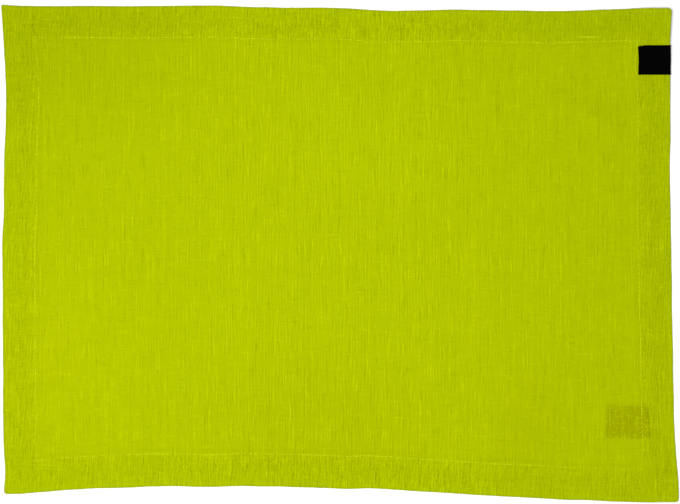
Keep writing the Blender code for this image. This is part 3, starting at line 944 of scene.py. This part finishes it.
# ------------------------------------------------------ the hem's layers, as they show
LAYERED = Spread(start=23.4, end=24.9, low=1.0, high=0.0)       # where they end, by the inset
UNDER_TURN = 4.0            # degrees between the yarns of the hem's under layers and its top layer
UNDER_CENTRE = (311.0, 173.0, 0.0)      # what they are turned about: off the mat, so none line up
UNDER_WARP_STREAKS = [Streak(run=8.0, strength=0.16), Streak(run=2.0, strength=0.16)]
UNDER_WEFT_STREAKS = [Streak(run=10.0, strength=0.05), Streak(run=2.2, strength=0.07)]
UNDER_PATCH = Patch(across=9.0, along=8.0, detail=1.0)
UNDER_SPREAD = Spread(start=0.3, end=0.7, low=0.6, high=1.4)
UNDER_STRENGTH = Spread(start=60.0, end=160.0, low=1.3, high=0.95)      # from the middle to the ends
UNDER_RIBS = 0.05           # how strong their ribs are, and how far one runs straight
UNDER_RIB_RUN = 14.0
UNDER_MOTTLE_PATCH = Patch(across=8.0, along=6.5, detail=1.0)
UNDER_MOTTLE = 0.03

# Tone of the hem by the inset, from the shade of its two and three layers; the dark line round the fold at
# the edge and the dip where the panel falls to the table are painted shade.
HemTone = namedtuple("HemTone", "inset red green")
HEM_TONES = [
    # painted shade: the dark line round the fold at the edge
    HemTone(inset=0.0, red=0.925, green=0.925),
    HemTone(inset=1.1, red=0.915, green=0.92),
    HemTone(inset=1.9, red=0.98, green=0.99),
    HemTone(inset=3.0, red=0.965, green=0.975),
    HemTone(inset=5.5, red=0.945, green=0.955),
    HemTone(inset=15.0, red=0.94, green=0.95),
    HemTone(inset=17.5, red=0.955, green=0.96),
    HemTone(inset=20.5, red=0.965, green=0.965),
    HemTone(inset=21.9, red=0.965, green=0.965),
    HemTone(inset=23.9, red=1.01, green=1.01),
    # painted shade: the dip where the panel falls from the hem to the table
    HemTone(inset=25.2, red=0.965, green=0.965),
    HemTone(inset=28.4, red=1.0, green=1.0),
]
HEM_TONE_END = 40.0

# A shade is a broad place painted a little darker or lighter, as painted shade and painted light of the
# uneven lighting and of the cloth's broad swells: its half length, its half width, and how much of the red
# and of the green comes back there.
Shade = namedtuple("Shade", "x y length width red green")
PAINTED_SHADES = [
    Shade(x=-205.0, y=160.0, length=160.0, width=105.0, red=0.925, green=0.925),
    Shade(x=-22.0, y=-128.0, length=115.0, width=90.0, red=0.965, green=0.95),
    Shade(x=-205.0, y=-75.0, length=90.0, width=125.0, red=1.055, green=1.03),
    Shade(x=30.0, y=80.0, length=115.0, width=60.0, red=1.025, green=1.03),
    Shade(x=137.0, y=-130.0, length=45.0, width=70.0, red=0.97, green=0.96),
    Shade(x=175.0, y=175.0, length=90.0, width=50.0, red=0.97, green=0.99),
    Shade(x=237.0, y=-105.0, length=45.0, width=110.0, red=1.022, green=1.006),
]


def painted_light_and_shade(x, y):
    """Return how much of the red, green and blue the broad painted shade and painted light leave at a place.
    """
    red = green = 1.0
    for shade in PAINTED_SHADES:
        near = fall(math.hypot((x - shade.x) / shade.length, (y - shade.y) / shade.width))
        red *= 1 + (shade.red - 1) * near
        green *= 1 + (shade.green - 1) * near
    return red, green, 1.0


def under_yarns(tree, flat_mm, swayed, aside, inset_mm):
    """Return the tone under the top yarns: plain on the panel, on the hem with its under layers' yarns."""
    askew = add_node(tree, "ShaderNodeVectorRotate",
                     {"Vector": swayed, "Center": UNDER_CENTRE, "Angle": math.radians(UNDER_TURN)},
                     rotation_type="Z_AXIS")
    mottle = add_node(tree, "ShaderNodeMath",
                      [patch_shade(tree, flat_mm, UNDER_MOTTLE_PATCH), UNDER_MOTTLE, -UNDER_MOTTLE / 2],
                      operation="MULTIPLY_ADD")
    ribs = add_node(tree, "ShaderNodeMath", [reed_ribs(tree, askew, UNDER_RIB_RUN), UNDER_RIBS, mottle],
                    operation="MULTIPLY_ADD")
    streaks = woven_streaks(tree, askew, UNDER_WARP_STREAKS, UNDER_WEFT_STREAKS)
    tone = add_node(tree, "ShaderNodeMath", [streaks, ribs], operation="ADD")
    patches = add_node(tree, "ShaderNodeMapRange", [patch_shade(tree, flat_mm, UNDER_PATCH), *UNDER_SPREAD])
    tone = add_node(tree, "ShaderNodeMath", [tone, patches], operation="MULTIPLY")
    strength = add_node(tree, "ShaderNodeMapRange", [aside, *UNDER_STRENGTH],
                        interpolation_type="SMOOTHSTEP")
    tone = add_node(tree, "ShaderNodeMath", [tone, strength], operation="MULTIPLY")
    layered = add_node(tree, "ShaderNodeMapRange", [inset_mm, *LAYERED])
    return add_node(tree, "ShaderNodeMath", [tone, layered, BASE_TONE], operation="MULTIPLY_ADD")


def layered_colour(tree, colour, inset_mm):
    """Return a colour as the hem's layers darken it, with painted shade at its fold and where the panel
    falls to the table, and as the broad painted shade and painted light change it.
    """
    share = add_node(tree, "ShaderNodeMath", [inset_mm, HEM_TONE_END], operation="DIVIDE")
    layers = add_node(tree, "ShaderNodeValToRGB", [share])
    stops = layers.color_ramp.elements
    stops.remove(stops[1])
    for place, row in enumerate(HEM_TONES):
        stop = stops.new(row.inset / HEM_TONE_END) if place else stops[0]
        stop.color = (row.red, row.green, 1.0, 1.0)
    hemmed = add_node(tree, "ShaderNodeVectorMath", [colour, layers], operation="MULTIPLY")
    shades = add_node(tree, "ShaderNodeAttribute", attribute_name="painted_light_and_shade")
    return add_node(tree, "ShaderNodeVectorMath", [hemmed, shades.outputs["Vector"]], operation="MULTIPLY")


# ------------------------------------------------- the care label, as it shows through
GHOST_TONE = (0.822, 0.767, 0.9)        # how much of each colour still comes back over it
GHOST_WARP = [Streak(run=7.0, strength=1.1), Streak(run=2.0, strength=0.9)]
GHOST_WEFT = [Streak(run=7.0, strength=1.3), Streak(run=2.0, strength=1.1)]
GHOST_PATCH = Patch(across=2.6, along=2.2, detail=1.0)
GHOST_MOTTLE = 2.6          # how patchily it shows, and what is added to that
GHOST_LEVEL = -0.12
GHOST_SOFT = 2.4            # how softly its ends fade, and its lower and upper sides
GHOST_SOFT_LOW = 3.8
GHOST_SOFT_HIGH = 6.0
GHOST_END = 224.4           # where it ends, at its lower side
GHOST_SLANT = 0.096         # how much nearer it ends for each millimetre up


def shadowed_colour(tree, colour, flat_mm, swayed):
    """Return a colour with the care label under it, a darker patch with a slanting end."""
    place = add_node(tree, "ShaderNodeTexCoord")
    parts = add_node(tree, "ShaderNodeSeparateXYZ", [place.outputs["Object"]])
    along, up = parts.outputs["X"], parts.outputs["Y"]
    slanted = add_node(tree, "ShaderNodeMath", [up, GHOST_SLANT, along], operation="MULTIPLY_ADD")
    end_at = GHOST_END + GHOST_SLANT * CARE_LABEL_LOW
    mottle = patch_shade(tree, flat_mm, GHOST_PATCH)
    shown = add_node(tree, "ShaderNodeMath", [mottle, GHOST_MOTTLE, GHOST_LEVEL], operation="MULTIPLY_ADD")
    streaks = woven_streaks(tree, swayed, GHOST_WARP, GHOST_WEFT)
    shown = add_node(tree, "ShaderNodeMath", [streaks, shown], operation="ADD")
    for value, start, end in ((along, CARE_LABEL_FREE_END, CARE_LABEL_FREE_END + GHOST_SOFT),
                              (slanted, end_at, end_at - GHOST_SOFT),
                              (up, CARE_LABEL_LOW, CARE_LABEL_LOW + GHOST_SOFT_LOW),
                              (up, CARE_LABEL_HIGH, CARE_LABEL_HIGH - GHOST_SOFT_HIGH)):
        inside = add_node(tree, "ShaderNodeMapRange", [value, start * MM, end * MM])
        shown = add_node(tree, "ShaderNodeMath", [shown, inside], operation="MULTIPLY")
    dimmed = add_node(tree, "ShaderNodeVectorMath", [colour, GHOST_TONE], operation="MULTIPLY")
    return add_node(tree, "ShaderNodeMix", {0: shown, 6: colour, 7: dimmed}, data_type="RGBA").outputs[2]


# ------------------------------------------------------------------ the materials
FLUFF_SCALE = 900.0         # to the metre: a slub's fluff is 1.1 mm from tuft to tuft
FLUFF_TONE = 0.3            # how much its tufts differ in tone
FLUFF_LEAST = 0.85          # the least tone of one
PLY_SCALE = 2500.0          # to the metre: a thread's plies are 0.4 mm from one to the next
WEAR_SCALE = 28.0           # to the metre: the wear along a seam changes over some 36 mm
WEAR_TONE = 0.3             # how much it changes the thread's tone
STITCH_TONE = 0.3           # how much a stitch's own tone may differ from the next one's
THREAD_LEAST = 0.81         # the least tone of the thread
RIBBON_GRAIN = Patch(across=0.5, along=1.6, detail=2.0)
RIB_RELIEF = 0.4            # how high a ribbon's ribs are for its grain
GRAIN_TONE = 0.5            # how much the grain changes its tone
GRAIN_LEAST = 0.75          # the least tone of it


def washed_linen():
    """Plain-woven flax, dyed and washed: matt and dry, streaked by uneven yarns, darker over layers, with
    painted shade and painted light over the hem and in broad places.
    """
    material, tree = new_finish("washed_linen")
    flat_mm = flat_place(tree)
    drift = add_node(tree, "ShaderNodeTexNoise",
                     {"Vector": flat_mm, "Scale": 1 / SWAY_LENGTH, "Detail": 1.0}, noise_dimensions="2D")
    swayed = add_node(tree, "ShaderNodeVectorMath", [drift.outputs["Color"], (SWAY, SWAY, 0.0), flat_mm],
                      operation="MULTIPLY_ADD")
    along = add_node(tree, "ShaderNodeSeparateXYZ", [flat_mm])
    aside = add_node(tree, "ShaderNodeMath", [along], operation="ABSOLUTE")
    inset = add_node(tree, "ShaderNodeAttribute", attribute_name="edge_distance")
    inset_mm = add_node(tree, "ShaderNodeMath", [inset.outputs["Fac"], 1 / MM], operation="MULTIPLY")
    tone = top_yarns(tree, flat_mm, swayed, aside, under_yarns(tree, flat_mm, swayed, aside, inset_mm))
    streaked = add_node(tree, "ShaderNodeVectorMath", {0: linear(LINEN_HEX), "Scale": tone},
                        operation="SCALE")
    hemmed = layered_colour(tree, streaked, inset_mm)
    relief = add_node(tree, "ShaderNodeMath", [weave_cells(tree, swayed), WEAVE_RELIEF, tone],
                      operation="MULTIPLY_ADD")
    close_finish(tree, shadowed_colour(tree, hemmed, flat_mm, swayed), relief, strength=0.35, depth=0.12,
                 gloss={"Roughness": 0.95, "Specular IOR Level": 0.01, "Sheen Weight": 0.03,
                        "Sheen Roughness": 0.6, "Sheen Tint": (*linear(SLUB_HEX), 1.0)})
    return material


def slub_linen():
    """Loosely spun flax, as it swells at a slub: lighter than the cloth and fluffy."""
    material, tree = new_finish("slub_linen")
    place = add_node(tree, "ShaderNodeTexCoord")
    fluff = add_node(tree, "ShaderNodeTexNoise",
                     {"Vector": place.outputs["Object"], "Scale": FLUFF_SCALE, "Detail": 2.0})
    tone = add_node(tree, "ShaderNodeMath", [fluff, FLUFF_TONE, FLUFF_LEAST], operation="MULTIPLY_ADD")
    colour = add_node(tree, "ShaderNodeVectorMath", {0: linear(SLUB_HEX), "Scale": tone}, operation="SCALE")
    close_finish(tree, colour, fluff, strength=0.3, depth=0.05,
                 gloss={"Roughness": 0.95, "Specular IOR Level": 0.01})
    return material


def spun_thread(name, hex_colour):
    """Spun polyester sewing thread: smoother than the linen, each stitch with its own tone."""
    material, tree = new_finish(name)
    place = add_node(tree, "ShaderNodeTexCoord")
    plies = add_node(tree, "ShaderNodeTexNoise",
                     {"Vector": place.outputs["Object"], "Scale": PLY_SCALE, "Detail": 1.0})
    worn = add_node(tree, "ShaderNodeTexNoise",
                    {"Vector": place.outputs["Object"], "Scale": WEAR_SCALE, "Detail": 1.0})
    faded = add_node(tree, "ShaderNodeMath", [worn, WEAR_TONE, THREAD_LEAST], operation="MULTIPLY_ADD")
    own = add_node(tree, "ShaderNodeAttribute", attribute_name="stitch_tone")
    tone = add_node(tree, "ShaderNodeMath", [own.outputs["Fac"], STITCH_TONE, faded],
                    operation="MULTIPLY_ADD")
    colour = add_node(tree, "ShaderNodeVectorMath", {0: linear(hex_colour), "Scale": tone},
                      operation="SCALE")
    close_finish(tree, colour, plies, strength=0.4, depth=0.04,
                 gloss={"Roughness": 0.6, "Specular IOR Level": 0.02})
    return material


def woven_ribbon(name, hex_colour, rib, roughness):
    """Close-woven ribbon: fine ribs across it, a dull gleam and a firm edge."""
    material, tree = new_finish(name)
    flat_mm = flat_place(tree)
    along = add_node(tree, "ShaderNodeSeparateXYZ", [flat_mm])
    turn = add_node(tree, "ShaderNodeMath", [along, math.tau / rib], operation="MULTIPLY")
    ribs = add_node(tree, "ShaderNodeMath", [turn], operation="SINE")
    grain = patch_shade(tree, flat_mm, RIBBON_GRAIN)
    relief = add_node(tree, "ShaderNodeMath", [ribs, RIB_RELIEF, grain], operation="MULTIPLY_ADD")
    tone = add_node(tree, "ShaderNodeMath", [grain, GRAIN_TONE, GRAIN_LEAST], operation="MULTIPLY_ADD")
    colour = add_node(tree, "ShaderNodeVectorMath", {0: linear(hex_colour), "Scale": tone},
                      operation="SCALE")
    close_finish(tree, colour, relief, strength=0.4, depth=0.06,
                 gloss={"Roughness": roughness, "Specular IOR Level": 0.012})
    return material


def painted_table():
    """Matt white paint: plain and pale, with no gloss to speak of."""
    material, tree = new_finish("painted_table")
    paint = add_node(tree, "ShaderNodeBsdfPrincipled",
                     {"Base Color": (*linear(TABLE_HEX), 1.0), "Roughness": 0.8, "Specular IOR Level": 0.1})
    add_node(tree, "ShaderNodeOutputMaterial", {"Surface": paint})
    return material


# ======================================================== table, light and camera
TABLE_SIZE = 8.0            # metres
TABLE_DROP = 0.04           # air under the mat, so that no two faces share a plane

Lamp = namedtuple("Lamp", "x y z size watts")
SOFTBOX = Lamp(x=-0.125, y=-0.07, z=0.9, size=0.6, watts=8.45)
ROOM_STRENGTH = 0.48

PHOTO_WIDTH = 680           # pixels
PHOTO_HEIGHT = 504
MM_PER_PIXEL = 0.72
MIDDLE_COLUMN = 340.3       # the mat's own origin in the photograph, in pixels
MIDDLE_ROW = 253.9
CAMERA_HEIGHT = 1600.0
SENSOR_WIDTH = 36.0


def add_table():
    """Add the plain pale table top that the mat lies on."""
    half = TABLE_SIZE / 2
    drop = -TABLE_DROP * MM
    mesh = bpy.data.meshes.new("table_top")
    mesh.from_pydata([(-half, -half, drop), (half, -half, drop), (half, half, drop), (-half, half, drop)],
                     [], [(0, 1, 2, 3)])
    add_piece("table_top", mesh, [painted_table()])


def add_light():
    """Light the mat softly: a round softbox almost straight over it, and an even room."""
    light = bpy.data.lights.new("softbox", "AREA")
    light.shape = "DISK"
    light.size = SOFTBOX.size
    light.energy = SOFTBOX.watts
    lamp = bpy.data.objects.new("softbox", light)
    lamp.location = (SOFTBOX.x, SOFTBOX.y, SOFTBOX.z)
    lamp.rotation_euler = (-Vector(lamp.location)).to_track_quat("-Z", "Y").to_euler()
    lamp.visible_camera = False
    bpy.context.scene.collection.objects.link(lamp)
    world = bpy.data.worlds.new("room")
    world.use_nodes = True
    sky = world.node_tree.nodes["Background"]
    sky.inputs["Color"].default_value = (1.0, 1.0, 1.0, 1.0)
    sky.inputs["Strength"].default_value = ROOM_STRENGTH
    bpy.context.scene.world = world
    bpy.context.scene.view_settings.view_transform = "Standard"


def add_camera():
    """Add the camera: straight over the mat, as far away as a long lens needs."""
    camera = bpy.data.cameras.new("overhead")
    camera.sensor_width = SENSOR_WIDTH
    camera.lens = SENSOR_WIDTH * CAMERA_HEIGHT / (PHOTO_WIDTH * MM_PER_PIXEL)
    camera.clip_start = 0.01
    stand = bpy.data.objects.new("overhead", camera)
    stand.location = ((PHOTO_WIDTH / 2 - MIDDLE_COLUMN) * MM_PER_PIXEL * MM,
                      (MIDDLE_ROW - PHOTO_HEIGHT / 2) * MM_PER_PIXEL * MM, CAMERA_HEIGHT * MM)
    bpy.context.scene.collection.objects.link(stand)
    bpy.context.scene.camera = stand


# ================================================================= putting together
def main():
    """Make the cloth, its labels, its sewing and its slubs, and hang each on the mat's root body."""
    add_camera()
    lime_thread = spun_thread("lime_thread", THREAD_HEX)
    black_thread = spun_thread("black_thread", BLACK_HEX)
    black_ribbon = woven_ribbon("black_ribbon_weave", BLACK_HEX, rib=0.9, roughness=0.65)
    charcoal_tape = woven_ribbon("charcoal_tape_weave", CHARCOAL_HEX, rib=0.8, roughness=0.7)
    cloth = add_linen_cloth(washed_linen())
    edge_label = add_label("black_label", EDGE_LABEL_LOW, EDGE_LABEL_HIGH, edge_label_path, RIBBON_SLANT,
                           black_ribbon, RIBBON_THICK)
    care_label = add_label("care_tape", CARE_LABEL_LOW, CARE_LABEL_HIGH, care_label_path, 0.0,
                           charcoal_tape, TAPE_THICK)
    sewn_row = sewn_row_tree()
    hem_rows = add_hem_stitches(sewn_row, lime_thread)
    label_rows = add_label_stitches(sewn_row, black_thread)
    slubs = add_slubs(slub_linen())

    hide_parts("mat_cloth")
    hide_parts("edge_label")
    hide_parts("care_label")
    for slot, pieces in {"lime_linen": [cloth, slubs, *hem_rows], "black_ribbon": [edge_label, *label_rows],
                         "charcoal_ribbon": [care_label]}.items():
        for piece in pieces:
            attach(piece, "root")
    add_table()
    add_light()


main()
